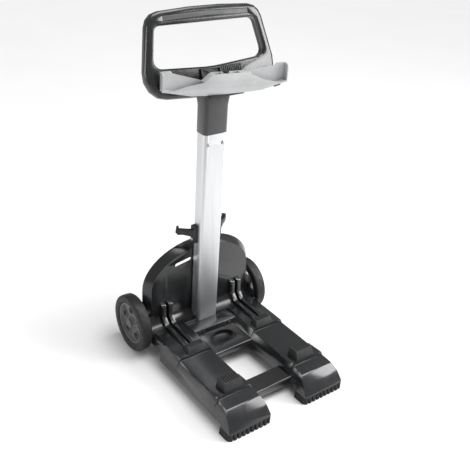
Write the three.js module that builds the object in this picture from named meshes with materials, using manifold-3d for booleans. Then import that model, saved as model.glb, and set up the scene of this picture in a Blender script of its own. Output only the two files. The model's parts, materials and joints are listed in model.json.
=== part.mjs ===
// Two-wheeled caddy that carries a robotic pool cleaner: a moulded base with two forks,
// a back shield, an aluminium mast, a loop handle and a turning holder for the control unit.
// Millimetres, +Z up, -Y is the front where the forks point, X = 0 is the plane of symmetry.
import * as THREE from "three";
import { mergeVertices } from "three/addons/utils/BufferGeometryUtils.js";
import Module from "manifold-3d";

// ---------------------------------------------------------------- driving dimensions
const DEPTH = 585; // foot fronts to the backs of the wheels
const FIT_GAP = 0.3; // between pieces that touch
const RUN_GAP = 0.6; // between pieces that turn on each other
const HOLE_GAP = 0.4; // round a screw
const WALL = 4; // moulded base and shield
const SHELL_WALL = 3.2; // handle halves

const WHEEL_RADIUS = 89;
const AXLE_Y = DEPTH / 2 - WHEEL_RADIUS;
const WHEEL_WIDTH = 34;
const RIM_RADIUS = 64;
const AXLE_RADIUS = 6;
const BUSH_WALL = 3.4;
const HUB_RADIUS = 17;
const RIM_WEB = 7; // thickness of the disc between hub and tyre seat
const APERTURES = 5;
const APERTURE_LENGTH = 24; // along the circle
const APERTURE_WIDTH = 22;
const APERTURE_PHASE = -112; // degrees, of the first aperture
const APERTURE_LIP = 3;
const AXLE_TUBE_RADIUS = 14;

const FORK_X = 132; // middle of each fork
const DECK_Z = WHEEL_RADIUS - 10; // top of the forks and of the body
const DECK_HALF = 53;
const RIM_Z = 23; // underside of the fork walls
const SHOULDER_Z = DECK_Z - 21;
const SHOULDER_HALF = 64;
const RIM_HALF = 66;
const FORK_REAR_Y = AXLE_Y - 129.5;
const PANEL_REAR_Y = FORK_REAR_Y - 93; // the plain deck panel lies between the two raised platforms
const PANEL_FRONT_Y = 83.5 - DEPTH / 2;
const PLATFORM_RISE = 7;
const RAMP_REAR_Y = PANEL_FRONT_Y + 59;
const FOOT_HALF = 74;
const FOOT_CORNER = 16;
const FOOT_BACK_REACH = 46; // length of the rubber foot
const FOOT_TEETH = 8;
const TOOTH_GAP = 6;
const TOOTH_DEPTH = 4;

const CROSSBAR_Y = PANEL_FRONT_Y + 22;
const CROSSBAR_DEPTH = 60;
const CROSSBAR_Z = DECK_Z - 29;
const TRAY_FRONT_Y = FORK_REAR_Y - 103;
const CUP_HALF = 40; // oval cup sunk into the tray
const CUP_DEPTH = 44;
const CUP_SUNK = 14;
const CUP_Y = FORK_REAR_Y - 36;
const VENTS_X = [40, 56]; // slots in the riser behind the tray
const VENT_WIDTH = 7;
const TRAY_Z = DECK_Z - 17;
const BODY_HALF = 190;
const WHEEL_INNER_X = BODY_HALF + 6.4; // inner face of each tyre
const BODY_REAR_Y = AXLE_Y + 13.5;
const BODY_Z = DECK_Z - 35; // underside of the body behind the forks

const MAST_WIDTH = 72;
const MAST_DEPTH = 44;
const MAST_CORNER = 9;
const MAST_WALL = 2.5;
const MAST_FRONT_Y = AXLE_Y - 87.5;
const MAST_BOTTOM_Z = DECK_Z - 29;
const MAST_TOP_Z = 738;
const SOCKET_WALL = 5;
const SOCKET_SCREW_Z = DECK_Z - 17;
const HOOK_Z = 362; // middle of the cable hooks' screws
const HOOK_BLOCK = 12;
const HOOK_TURN = 38; // degrees back from sideways

const SHIELD_HALF = BODY_HALF + 2;
const SHIELD_SPRING_Z = 208; // where the straight sides turn into the arch
const SHIELD_TOP_Z = 337;
const SHIELD_RIM_DEPTH = 26;
const SHIELD_BEVEL = 17;
const SHIELD_BEVEL_DEPTH = 24;
const COVE_RADIUS = 35;
const FLANGE = 5; // foot flange that the cove runs into
const SLOT_HALF_LENGTH = 28;
const SLOT_HEIGHT = 12;
const SLOT_X = -66;
const SLOT_Z = 279;

const RAIL_WIDTH = 14;
const RAIL_SPACING = 24; // between the middles of a pair of ribs
const RAIL_X = 128;
const RAIL_Z = DECK_Z + 18;
const RAIL_TOP_Z = DECK_Z + 79;
const RAIL_PROUD = 15; // in front of the shield face
const PAD_RIBS = 7;
const PAD_GROOVE = 2.4;
const PAD_GROOVE_DEPTH = 2;
const PAD_FLARE = 6; // how much wider a pad is at its foot
const REAR_PAD_BACK_Y = PANEL_REAR_Y + 33;

const COLLAR_BOTTOM_Z = MAST_TOP_Z - 48;
const COLLAR_STRAIGHT_Z = MAST_TOP_Z + 28;
const COLLAR_TOP_Z = MAST_TOP_Z + 108;
const COLLAR_WALL = 2.6;
const COLLAR_FLARE = 1.32;

const HANDLE_Y = MAST_FRONT_Y + 30; // the loop's middle plane at its origin
const HANDLE_Z = MAST_TOP_Z + 96;
const HANDLE_TILT = 18.5; // degrees back from upright
const HANDLE_THICKNESS = 30;
const HANDLE_BEVEL = 10; // outer edge
const HOLE_BEVEL = 4; // edge of the hand hole
const GRIP_HALF = 132;
const GRIP_LOW = 161;
const GRIP_HIGH = 173.5;
const GRIP_DROP = 4; // of the inlay's ends below its middle
const GRIP_DEPTH = 2;
const BOSS_RADIUS = 5.5;
const CLIP_LEFT = -45; // cord housing on the loop's lower bar
const CLIP_SPLIT = 14;
const CLIP_RIGHT = 86;
const CLIP_DEPTH = 5.5;
const CLIP_PITCH = 6;
const CLIP_CROSS = 0.34; // radians

const HOLDER_Y = MAST_FRONT_Y - 30; // pivot of the control unit holder
const HOLDER_Z = MAST_TOP_Z + 77;
const HOLDER_BLOCK_TOP = HOLDER_Z + 53;
const HOLDER_TIP_TOP = HOLDER_Z + 66;
const HOLDER_HALF = 178;
const HOLDER_BLOCK_HALF = 66;
const HOLDER_CROWN_HALF = 41; // at the block's top
const HOLDER_FRONT = 13; // block front ahead of the pivot
const HOLDER_BACK = 10;
const HOLDER_ARM_DEPTH = 20;
const HOLDER_WALL = 3.5;
const HOLDER_TURN = -10; // degrees, resting against its stop
const HOLDER_NOTCH_Z = HOLDER_Z + 34; // arm walls beside the block
const POST_RADIUS = 6;
const PLATE_HALF = 58;
const BUFFER_X = 150;
const BUFFER_REACH = 9;
const BUFFER_THICKNESS = 5;

const SCREW_RADIUS = 2.2;
const SCREW_HEAD = 4.6;
const SCREW_HEAD_HEIGHT = 2.6;

const ARC_STEP = 22.5; // degrees of arc for each facet of a rounded corner
const ROUND = 56; // facets of a large round piece
const SMALL_ROUND = 16;
const TINY_ROUND = 8;

// ---------------------------------------------------------------- derived places
const FRONT_Y = -DEPTH / 2;
const AXLE_Z = WHEEL_RADIUS;
const FOOT_PAD_TOP = RIM_Z - FIT_GAP;
const MAST_Y = MAST_FRONT_Y + MAST_DEPTH / 2;
const MAST_REAR_Y = MAST_FRONT_Y + MAST_DEPTH;
const SHIELD_FACE_Y = MAST_REAR_Y + FIT_GAP + 0.7;
const SHIELD_REAR_Y = SHIELD_FACE_Y + SHIELD_RIM_DEPTH;
const SHIELD_Z = DECK_Z + FIT_GAP;
const FLANGE_FRONT_Y = SHIELD_FACE_Y - COVE_RADIUS - 4;
const PAD_Z = DECK_Z + PLATFORM_RISE + FIT_GAP;

// ---------------------------------------------------------------- materials
const finish = (color, roughness, metalness = 0) => ({ color, roughness, metalness });
const BASE_BLACK = finish(0x2b2c2e, 0.42);
const PAD_BLACK = finish(0x333436, 0.6);
const RUBBER = finish(0x1c1c1d, 0.85);
const HANDLE_GREY = finish(0x3a3b3d, 0.45);
const GRIP_GREY = finish(0x77797b, 0.55);
const HOLDER_GREY = finish(0xb9bbbd, 0.35);
const HUB_GREY = finish(0x6b6d70, 0.5);
const ALUMINIUM = finish(0xc9cbcd, 0.32, 1);
const STEEL = finish(0x9a9c9e, 0.35, 1);
const NYLON = finish(0x202123, 0.5);

// ---------------------------------------------------------------- outlines and solids
const wasm = await Module();
wasm.setup();

// Corners are [x, y, radius]; each rounded corner becomes an arc of short facets.
function outline(corners) {
  const count = corners.length;
  const points = [];
  corners.forEach(([x, y, radius], i) => {
    const corner = new THREE.Vector2(x, y);
    if (!radius) {
      points.push(corner);
      return;
    }
    const [beforeX, beforeY] = corners[(i + count - 1) % count];
    const [afterX, afterY] = corners[(i + 1) % count];
    const back = new THREE.Vector2(beforeX - x, beforeY - y).normalize();
    const ahead = new THREE.Vector2(afterX - x, afterY - y).normalize();
    const half = Math.acos(THREE.MathUtils.clamp(back.dot(ahead), -1, 1)) / 2;
    const toCentre = back.clone().add(ahead).normalize();
    const centre = corner.clone().addScaledVector(toCentre, radius / Math.sin(half));
    const start = corner.clone().addScaledVector(back, radius / Math.tan(half)).sub(centre);
    const end = corner.clone().addScaledVector(ahead, radius / Math.tan(half)).sub(centre);
    const sweep = Math.atan2(start.cross(end), start.dot(end));
    const steps = Math.max(1, Math.round(Math.abs(THREE.MathUtils.radToDeg(sweep)) / ARC_STEP));
    for (let step = 0; step <= steps; step += 1) {
      const turned = start.clone().rotateAround(new THREE.Vector2(), (sweep * step) / steps);
      points.push(turned.add(centre));
    }
  });
  return points;
}

// The same corners with every side moved inwards by distance; corners run anticlockwise.
function inset(corners, distance) {
  const count = corners.length;
  const normalOf = (i) => {
    const [x0, y0] = corners[i];
    const [x1, y1] = corners[(i + 1) % count];
    return new THREE.Vector2(y0 - y1, x1 - x0).normalize();
  };
  return corners.map(([x, y, radius = 0], i) => {
    const before = normalOf((i + count - 1) % count);
    const after = normalOf(i);
    const shift = before.clone().add(after).multiplyScalar(distance / (1 + before.dot(after)));
    return [x + shift.x, y + shift.y, radius ? Math.max(radius - distance, 0.5) : 0];
  });
}

// Both halves of a symmetric outline from its right half, listed anticlockwise from below.
function mirrored(rightHalf) {
  const left = rightHalf.map(([x, y, radius]) => [-x, y, radius]).reverse();
  return [...rightHalf, ...left];
}

function rectangle(x0, y0, x1, y1, radius = 0) {
  return [[x0, y0, radius], [x1, y0, radius], [x1, y1, radius], [x0, y1, radius]];
}

// A closed mesh as a solid: shared corners welded, flat triangles dropped, faces outwards.
function solid(geometry) {
  const bare = geometry.clone();
  bare.deleteAttribute("normal");
  bare.deleteAttribute("uv");
  const welded = mergeVertices(bare, 1e-4);
  const places = welded.attributes.position;
  const index = Array.from(welded.index.array);
  let volume = 0;
  const kept = [];
  for (let i = 0; i < index.length; i += 3) {
    const [a, b, c] = index.slice(i, i + 3);
    if (a !== b && b !== c && c !== a) {
      kept.push(a, b, c);
      const [p, q, r] = [a, b, c].map((k) => new THREE.Vector3().fromBufferAttribute(places, k));
      volume += p.dot(q.cross(r));
    }
  }
  const triVerts = Uint32Array.from(volume < 0 ? kept.reverse() : kept);
  const vertProperties = Float32Array.from(places.array);
  return new wasm.Manifold(new wasm.Mesh({ numProp: 3, vertProperties, triVerts }));
}

function geometryOf(manifold) {
  const mesh = manifold.getMesh();
  const geometry = new THREE.BufferGeometry();
  geometry.setAttribute("position", new THREE.Float32BufferAttribute(mesh.vertProperties, 3));
  geometry.setIndex(Array.from(mesh.triVerts));
  const flat = geometry.toNonIndexed();
  flat.computeVertexNormals();
  return flat;
}

const join = (solids) => solids.reduce((all, next) => all.add(next));
const cut = (body, tools) => tools.reduce((left, tool) => left.subtract(tool), body);
const common = (solids) => solids.reduce((all, next) => all.intersect(next));

// A bevel is { reach, depth, rounds }: how far it goes in, how far along, and its facets.
function extruded(corners, length, holes = [], bevel = { reach: 0, depth: 0, rounds: 1 }) {
  const shape = new THREE.Shape(outline(corners));
  holes.forEach((hole) => shape.holes.push(new THREE.Path(outline(hole).reverse())));
  return new THREE.ExtrudeGeometry(shape, {
    depth: length - 2 * bevel.depth,
    bevelEnabled: bevel.reach > 0,
    bevelThickness: bevel.depth,
    bevelSize: bevel.reach,
    bevelOffset: -bevel.reach,
    bevelSegments: bevel.rounds,
    steps: 1,
  }).translate(0, 0, bevel.depth);
}

// Outline in X and Y, running up from z0 to z1.
const prismZ = (corners, z0, z1) => solid(extruded(corners, z1 - z0).translate(0, 0, z0));

// Outline in X and Z, running back from y0 to y1.
function prismY(corners, y0, y1, bevel) {
  const turn = new THREE.Matrix4().makeBasis(
    new THREE.Vector3(1, 0, 0),
    new THREE.Vector3(0, 0, 1),
    new THREE.Vector3(0, -1, 0),
  );
  return solid(extruded(corners, y1 - y0, [], bevel).applyMatrix4(turn).translate(0, y1, 0));
}

// Outline in Y and Z, running right from x0 to x1.
function prismX(corners, x0, x1) {
  const turn = new THREE.Matrix4().makeBasis(
    new THREE.Vector3(0, 1, 0),
    new THREE.Vector3(0, 0, 1),
    new THREE.Vector3(1, 0, 0),
  );
  return solid(extruded(corners, x1 - x0).applyMatrix4(turn).translate(x0, 0, 0));
}

// Profile points are [radius, along]; the axis runs along +Z through the origin.
function turned(profile, facets = ROUND) {
  const points = profile.map(([radius, along]) => new THREE.Vector2(radius, along));
  return new THREE.LatheGeometry(points, facets).rotateX(Math.PI / 2);
}

function rod(radius, from, to, facets = SMALL_ROUND) {
  return turned([[0, from], [radius, from], [radius, to], [0, to]], facets);
}

function ring(inner, outer, from, to, facets = ROUND) {
  return turned([[inner, from], [outer, from], [outer, to], [inner, to], [inner, from]], facets);
}

const alongX = (geometry) => geometry.rotateY(Math.PI / 2);
const onAxle = (geometry) => alongX(geometry).translate(0, AXLE_Y, AXLE_Z);

// ---------------------------------------------------------------- scene graph helpers
const caddy = new THREE.Group();

function addPiece(name, shape, look, parent = caddy) {
  const geometry = shape instanceof THREE.BufferGeometry ? shape : geometryOf(shape);
  const piece = new THREE.Mesh(geometry, new THREE.MeshStandardMaterial(look));
  piece.name = name;
  parent.add(piece);
  return piece;
}

const sides = [
  { name: "left", sign: -1 },
  { name: "right", sign: 1 },
];

// A pan-head screw whose shank points along -Z from the underside of its head at the origin.
function screwShape(length) {
  return turned(
    [
      [0, -length],
      [SCREW_RADIUS, -length],
      [SCREW_RADIUS, 0],
      [SCREW_HEAD, 0],
      [SCREW_HEAD, SCREW_HEAD_HEIGHT * 0.6],
      [SCREW_HEAD * 0.6, SCREW_HEAD_HEIGHT],
      [0, SCREW_HEAD_HEIGHT],
    ],
    TINY_ROUND,
  );
}

function addScrew(name, length, place, direction, parent = caddy) {
  const screw = addPiece(name, screwShape(length), STEEL, parent);
  screw.position.copy(place);
  screw.quaternion.setFromUnitVectors(new THREE.Vector3(0, 0, 1), direction);
  return screw;
}

function screwHole(length, place, direction) {
  const room = rod(SCREW_RADIUS + HOLE_GAP, -length - FIT_GAP, 1, TINY_ROUND);
  const turn = new THREE.Quaternion().setFromUnitVectors(new THREE.Vector3(0, 0, 1), direction);
  return solid(room.applyQuaternion(turn).translate(place.x, place.y, place.z));
}

// ---------------------------------------------------------------- base moulding
const mastOutline = (growth) =>
  inset(rectangle(-MAST_WIDTH / 2, MAST_FRONT_Y, MAST_WIDTH / 2, MAST_REAR_Y, MAST_CORNER), -growth);

const noseTopY = FRONT_Y + 42;
const noseCreaseY = FRONT_Y + 21;
const forkSide = [
  [FORK_REAR_Y, RIM_Z],
  [FORK_REAR_Y, DECK_Z],
  [PANEL_FRONT_Y, DECK_Z],
  [noseTopY, DECK_Z - 5, 8],
  [noseCreaseY, SHOULDER_Z - 5, 24],
  [FRONT_Y + 2.5, RIM_Z],
];
const forkFlank = mirrored([
  [RIM_HALF, RIM_Z],
  [SHOULDER_HALF, SHOULDER_Z],
  [DECK_HALF, DECK_Z, 4],
]);
const footFlank = mirrored([
  [FOOT_HALF - 3, RIM_Z],
  [SHOULDER_HALF, SHOULDER_Z],
  [DECK_HALF, DECK_Z, 4],
]);
const footPlan = [
  [-FOOT_HALF, FORK_REAR_Y],
  [-FOOT_HALF, FRONT_Y, FOOT_CORNER],
  [FOOT_HALF, FRONT_Y, FOOT_CORNER],
  [FOOT_HALF, FORK_REAR_Y],
];

// The inside of a hollow moulding: its outline moved in by the wall and left open below.
function hollowOf(corners, floor) {
  const lowest = Math.min(...corners.map(([, height]) => height));
  return inset(corners, WALL).map(([across, height, radius]) => [
    across,
    height < lowest + WALL + 1 ? floor - 1 : height,
    radius,
  ]);
}

// One fork about its own middle: a channel, open below, that widens into the foot.
function forkShell() {
  const footBackY = FRONT_Y + FOOT_BACK_REACH;
  const outside = common([
    prismX(forkSide, -FOOT_HALF, FOOT_HALF),
    prismY(forkFlank, FRONT_Y, FORK_REAR_Y).add(prismY(footFlank, FRONT_Y, footBackY)),
    prismZ(footPlan, 0, DECK_Z),
  ]);
  const inside = common([
    prismX(hollowOf(forkSide, RIM_Z), -FOOT_HALF, FOOT_HALF),
    prismY(hollowOf(forkFlank, RIM_Z), FRONT_Y, FORK_REAR_Y).add(
      prismY(hollowOf(footFlank, RIM_Z), FRONT_Y, footBackY - WALL),
    ),
    prismZ(inset(footPlan, WALL), 0, DECK_Z),
  ]);
  return cut(outside.add(forkPlatforms()), [inside]);
}

// Raised parts of the deck: a ramp up to the front pad and a level block under the rear pad.
function forkPlatforms() {
  const section = mirrored([
    [SHOULDER_HALF + 1.5, SHOULDER_Z],
    [DECK_HALF, DECK_Z + PLATFORM_RISE, 3],
  ]);
  const ramp = prismX(
    [
      [RAMP_REAR_Y, SHOULDER_Z],
      [PANEL_FRONT_Y, SHOULDER_Z],
      [PANEL_FRONT_Y, DECK_Z + PLATFORM_RISE],
      [RAMP_REAR_Y, DECK_Z - 1],
    ],
    -FOOT_HALF,
    FOOT_HALF,
  );
  const block = prismY(section, PANEL_REAR_Y, FORK_REAR_Y);
  return common([ramp, prismY(section, PANEL_FRONT_Y, RAMP_REAR_Y)]).add(block);
}

// A box-like moulding open below, its outline in Y and Z running from x0 to x1.
function openBelow(corners, x0, x1) {
  const floor = Math.min(...corners.map(([, height]) => height));
  const inside = prismX(hollowOf(corners, floor), x0 + WALL, x1 - WALL);
  return prismX(corners, x0, x1).subtract(inside);
}

function supportRails() {
  const rails = [];
  sides.forEach(({ sign }) => {
    [-1, 1].forEach((side) => {
      const middle = sign * RAIL_X + (side * RAIL_SPACING) / 2;
      const section = [
        [middle - RAIL_WIDTH / 2, DECK_Z + 1],
        [middle + RAIL_WIDTH / 2, DECK_Z + 1],
        [middle + RAIL_WIDTH / 2, RAIL_Z, 3],
        [middle - RAIL_WIDTH / 2, RAIL_Z, 3],
      ];
      rails.push(prismY(section, REAR_PAD_BACK_Y + FIT_GAP, FLANGE_FRONT_Y - FIT_GAP));
    });
  });
  return rails;
}

const socketScrewPlaces = sides.map(({ name, sign }) => ({
  name,
  place: new THREE.Vector3(sign * (MAST_WIDTH / 2 + FIT_GAP + SOCKET_WALL), MAST_Y, SOCKET_SCREW_Z),
  direction: new THREE.Vector3(sign, 0, 0),
  length: SOCKET_WALL + MAST_WALL + 3,
}));

const shieldScrewPlaces = [-1, 1].flatMap((sign) =>
  [60, BODY_HALF - 22].map((x) => ({
    place: new THREE.Vector3(sign * x, SHIELD_REAR_Y - 11, SHIELD_Z + WALL + FIT_GAP),
    direction: new THREE.Vector3(0, 0, 1),
    length: 2 * WALL + 4,
  })),
);

function baseMoulding() {
  const forks = sides.map(({ sign }) => forkShell().translate([sign * FORK_X, 0, 0]));
  const barReach = FORK_X - SHOULDER_HALF + WALL / 2;
  const barFront = CROSSBAR_Y - CROSSBAR_DEPTH / 2;
  const bar = openBelow(
    [
      [barFront, RIM_Z + 2],
      [barFront + CROSSBAR_DEPTH, RIM_Z + 2],
      [barFront + CROSSBAR_DEPTH, CROSSBAR_Z, 4],
      [barFront, CROSSBAR_Z, 4],
    ],
    -barReach,
    barReach,
  );
  const tray = openBelow(
    [
      [TRAY_FRONT_Y, TRAY_Z - 20],
      [FORK_REAR_Y + WALL, TRAY_Z - 20],
      [FORK_REAR_Y + WALL, TRAY_Z],
      [TRAY_FRONT_Y, TRAY_Z, 4],
    ],
    -barReach - 4,
    barReach + 4,
  );
  const body = openBelow(
    [
      [FORK_REAR_Y - WALL, BODY_Z],
      [BODY_REAR_Y - 14, BODY_Z],
      [BODY_REAR_Y, BODY_Z + 14],
      [BODY_REAR_Y, DECK_Z, 6],
      [FORK_REAR_Y, DECK_Z, 5],
      [FORK_REAR_Y - WALL, TRAY_Z - 2],
    ],
    -BODY_HALF,
    BODY_HALF,
  );
  const shelf = sides.map(({ sign }) =>
    prismY(
      [
        [sign * FORK_X - DECK_HALF, DECK_Z - 1],
        [sign * FORK_X + DECK_HALF, DECK_Z - 1],
        [sign * FORK_X + DECK_HALF - 1, DECK_Z + PLATFORM_RISE, 2],
        [sign * FORK_X - DECK_HALF + 1, DECK_Z + PLATFORM_RISE, 2],
      ],
      FORK_REAR_Y - 1,
      FLANGE_FRONT_Y - FIT_GAP,
    ),
  );
  const socket = prismZ(mastOutline(FIT_GAP + SOCKET_WALL), MAST_BOTTOM_Z - WALL, DECK_Z);
  const axleTube = solid(
    alongX(rod(AXLE_TUBE_RADIUS, -BODY_HALF, BODY_HALF, 24)).translate(0, AXLE_Y, AXLE_Z),
  );
  const axleBore = solid(
    alongX(rod(AXLE_RADIUS + FIT_GAP, -BODY_HALF - 1, BODY_HALF + 1)).translate(0, AXLE_Y, AXLE_Z),
  );
  const mastRoom = prismZ(mastOutline(FIT_GAP), MAST_BOTTOM_Z - FIT_GAP, DECK_Z + 1);
  const vents = sides.flatMap(({ sign }) =>
    VENTS_X.map((x) => {
      const slot = rectangle(
        sign * x - VENT_WIDTH / 2,
        TRAY_Z + 2,
        sign * x + VENT_WIDTH / 2,
        DECK_Z - WALL - 1,
        VENT_WIDTH / 2 - 0.5,
      );
      return prismY(slot, FORK_REAR_Y - 2 * WALL, FORK_REAR_Y + 2 * WALL);
    }),
  );
  const ovalCup = (growth, z0, z1) =>
    solid(
      rod(1, z0, z1, 28)
        .scale(CUP_HALF + growth, CUP_DEPTH / 2 + growth, 1)
        .translate(0, CUP_Y, 0),
    );
  const cup = ovalCup(WALL, TRAY_Z - CUP_SUNK - WALL, TRAY_Z - 1);
  const cupRoom = ovalCup(0, TRAY_Z - CUP_SUNK, TRAY_Z + 1);
  const screwHoles = [...socketScrewPlaces, ...shieldScrewPlaces].map(({ length, place, direction }) =>
    screwHole(length, place, direction),
  );
  const box = join([body, tray]).subtract(mastRoom);
  const moulding = join([...forks, bar, box, cup, ...shelf, socket, axleTube, ...supportRails()]);
  return cut(moulding, [axleBore, mastRoom, cupRoom, ...vents, ...screwHoles]);
}

addPiece("base_moulding", baseMoulding(), BASE_BLACK);

// ---------------------------------------------------------------- rubber feet
function rubberFoot() {
  const back = FRONT_Y + FOOT_BACK_REACH;
  const side = prismX(
    [[back, 0], [back, FOOT_PAD_TOP], [FRONT_Y + 2.5, FOOT_PAD_TOP], [FRONT_Y, 0]],
    -FOOT_HALF,
    FOOT_HALF,
  );
  const front = prismY(
    mirrored([[FOOT_HALF, 0], [RIM_HALF + 5, FOOT_PAD_TOP]]),
    FRONT_Y,
    back,
  );
  const plan = prismZ(
    [
      [-FOOT_HALF, back],
      [-FOOT_HALF, FRONT_Y, FOOT_CORNER],
      [FOOT_HALF, FRONT_Y, FOOT_CORNER],
      [FOOT_HALF, back],
    ],
    0,
    FOOT_PAD_TOP,
  );
  const toothed = 2 * (FOOT_HALF - FOOT_CORNER);
  const notches = [];
  for (let i = 0; i <= FOOT_TEETH; i += 1) {
    const x = -toothed / 2 + (toothed * i) / FOOT_TEETH;
    notches.push(
      prismZ(
        rectangle(x - TOOTH_GAP / 2, FRONT_Y - 1, x + TOOTH_GAP / 2, FRONT_Y + TOOTH_DEPTH + 2),
        -1,
        FOOT_PAD_TOP - 4,
      ),
    );
  }
  return cut(common([side, front, plan]), notches);
}

sides.forEach(({ name, sign }) => {
  addPiece(`${name}_rubber_foot`, rubberFoot(), RUBBER).position.x = sign * FORK_X;
});

// ---------------------------------------------------------------- ribbed pads for the load
const FRONT_PAD = {
  x0: FORK_X - 32,
  x1: FORK_X + 24,
  front: PANEL_FRONT_Y + 5,
  back: PANEL_FRONT_Y + 47,
  top: DECK_Z + 29,
  nose: 12,
};
const REAR_PAD = {
  x0: FORK_X - 35,
  x1: FORK_X + 18,
  front: PANEL_REAR_Y + 2,
  back: REAR_PAD_BACK_Y,
  top: DECK_Z + 25,
  nose: 10,
};

function ribbedPad({ x0, x1, front, back, top, nose }) {
  const slope = PLATFORM_RISE / (RAMP_REAR_Y - PANEL_FRONT_Y);
  const deckUnder = (y) => (y < RAMP_REAR_Y ? PAD_Z - slope * (y - PANEL_FRONT_Y) : PAD_Z);
  const side = prismX(
    [
      [front, deckUnder(front)],
      [back, deckUnder(back)],
      [back, top, 3],
      [front + nose, top, 3],
    ],
    x0 - PAD_FLARE,
    x1 + PAD_FLARE,
  );
  const flank = prismY(
    [
      [x0 - PAD_FLARE, deckUnder(back)],
      [x1 + PAD_FLARE, deckUnder(back)],
      [x1, top, 2],
      [x0, top, 2],
    ],
    front,
    back,
  );
  const block = common([side, flank]);
  const pitch = (x1 - x0) / PAD_RIBS;
  const grooves = [];
  for (let i = 1; i < PAD_RIBS; i += 1) {
    const x = x0 + pitch * i;
    grooves.push(
      prismZ(
        rectangle(x - PAD_GROOVE / 2, front - 1, x + PAD_GROOVE / 2, back + 1),
        top - PAD_GROOVE_DEPTH,
        top + 1,
      ),
    );
  }
  return cut(block, grooves);
}

const mirrorX = (shape) => shape.mirror([1, 0, 0]);
[
  ["front_pad", FRONT_PAD],
  ["rear_pad", REAR_PAD],
].forEach(([label, size]) => {
  addPiece(`right_${label}`, ribbedPad(size), PAD_BLACK);
  addPiece(`left_${label}`, mirrorX(ribbedPad(size)), PAD_BLACK);
});

// ---------------------------------------------------------------- back shield
function archCorners() {
  const rise = SHIELD_TOP_Z - SHIELD_SPRING_Z;
  const arch = [];
  const facets = 24;
  for (let i = 0; i <= facets; i += 1) {
    const angle = (Math.PI * i) / facets;
    arch.push([SHIELD_HALF * Math.cos(angle), SHIELD_SPRING_Z + rise * Math.sin(angle)]);
  }
  return [[-SHIELD_HALF, SHIELD_Z - 2 * SHIELD_BEVEL], [SHIELD_HALF, SHIELD_Z - 2 * SHIELD_BEVEL], ...arch];
}

// The cove seen from the side, from the given height up to the upright face.
function coveArc(thickness, lowest) {
  const centreY = SHIELD_FACE_Y - COVE_RADIUS;
  const centreZ = SHIELD_Z + FLANGE + COVE_RADIUS;
  const radius = COVE_RADIUS + thickness;
  const start = -Math.asin(Math.min(1, (centreZ - lowest) / radius));
  const facets = 6;
  const points = [];
  for (let i = 0; i <= facets; i += 1) {
    const angle = start * (1 - i / facets);
    points.push([centreY + radius * Math.cos(angle), centreZ + radius * Math.sin(angle)]);
  }
  return points.reverse();
}

function backShield() {
  const top = SHIELD_TOP_Z + 1;
  const sideOuter = prismX(
    [
      [FLANGE_FRONT_Y, SHIELD_Z],
      [SHIELD_REAR_Y, SHIELD_Z],
      [SHIELD_REAR_Y, top],
      [SHIELD_FACE_Y, top],
      ...coveArc(0, SHIELD_Z + FLANGE),
      [FLANGE_FRONT_Y, SHIELD_Z + FLANGE],
    ],
    -SHIELD_HALF,
    SHIELD_HALF,
  );
  const sideInner = prismX(
    [
      [SHIELD_REAR_Y + 1, SHIELD_Z + WALL],
      [SHIELD_REAR_Y + 1, top],
      [SHIELD_FACE_Y + WALL, top],
      ...coveArc(WALL, SHIELD_Z + WALL),
    ],
    -SHIELD_HALF,
    SHIELD_HALF,
  );
  const bevel = { reach: SHIELD_BEVEL, depth: SHIELD_BEVEL_DEPTH, rounds: 1 };
  const farY = SHIELD_REAR_Y + 2 * SHIELD_BEVEL_DEPTH;
  const arch = prismY(archCorners(), SHIELD_FACE_Y, farY, bevel);
  const skirt = prismZ(
    rectangle(-SHIELD_HALF, FLANGE_FRONT_Y - 1, SHIELD_HALF, SHIELD_REAR_Y + 1),
    SHIELD_Z,
    SHIELD_Z + FLANGE + COVE_RADIUS,
  );
  const innerArch = prismY(
    inset(archCorners(), WALL),
    SHIELD_FACE_Y + WALL,
    farY + WALL,
    bevel,
  );
  const innerSkirt = prismZ(
    rectangle(-SHIELD_HALF + WALL, FLANGE_FRONT_Y - 1, SHIELD_HALF - WALL, SHIELD_REAR_Y + 2),
    SHIELD_Z,
    SHIELD_Z + FLANGE + COVE_RADIUS,
  );
  const shell = cut(common([sideOuter, arch.add(skirt)]), [
    common([sideInner, innerArch.add(innerSkirt)]),
  ]);
  const railFace = SHIELD_FACE_Y - RAIL_PROUD;
  const railSide = [
    [FLANGE_FRONT_Y, SHIELD_Z + 1],
    [SHIELD_FACE_Y + 1, SHIELD_Z + 1],
    [SHIELD_FACE_Y + 1, RAIL_TOP_Z],
    [railFace, RAIL_TOP_Z, 10],
    [railFace, RAIL_Z + 18, 14],
    [FLANGE_FRONT_Y + 4, RAIL_Z, 3],
    [FLANGE_FRONT_Y, RAIL_Z],
  ];
  const rails = sides.flatMap(({ sign }) =>
    [-1, 1].map((side) => {
      const middle = sign * RAIL_X + (side * RAIL_SPACING) / 2;
      return prismX(railSide, middle - RAIL_WIDTH / 2, middle + RAIL_WIDTH / 2);
    }),
  );
  const slot = prismY(
    [
      [SLOT_X - SLOT_HALF_LENGTH, SLOT_Z - SLOT_HEIGHT / 2 - 5, 5],
      [SLOT_X + SLOT_HALF_LENGTH, SLOT_Z - SLOT_HEIGHT / 2 + 5, 5],
      [SLOT_X + SLOT_HALF_LENGTH, SLOT_Z + SLOT_HEIGHT / 2 + 5, 5],
      [SLOT_X - SLOT_HALF_LENGTH, SLOT_Z + SLOT_HEIGHT / 2 - 5, 5],
    ],
    SHIELD_FACE_Y - 1,
    SHIELD_FACE_Y + WALL + 1,
  );
  const mastNotch = prismZ(mastOutline(FIT_GAP), SHIELD_Z - 1, SHIELD_Z + FLANGE + COVE_RADIUS);
  const holes = shieldScrewPlaces.map(({ length, place, direction }) =>
    screwHole(length, place, direction),
  );
  return cut(join([shell, ...rails]), [slot, mastNotch, ...holes]);
}

addPiece("back_shield", backShield(), BASE_BLACK);
shieldScrewPlaces.forEach(({ length, place, direction }, i) => {
  addScrew(`shield_screw_${i + 1}`, length, place, direction);
});

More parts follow.
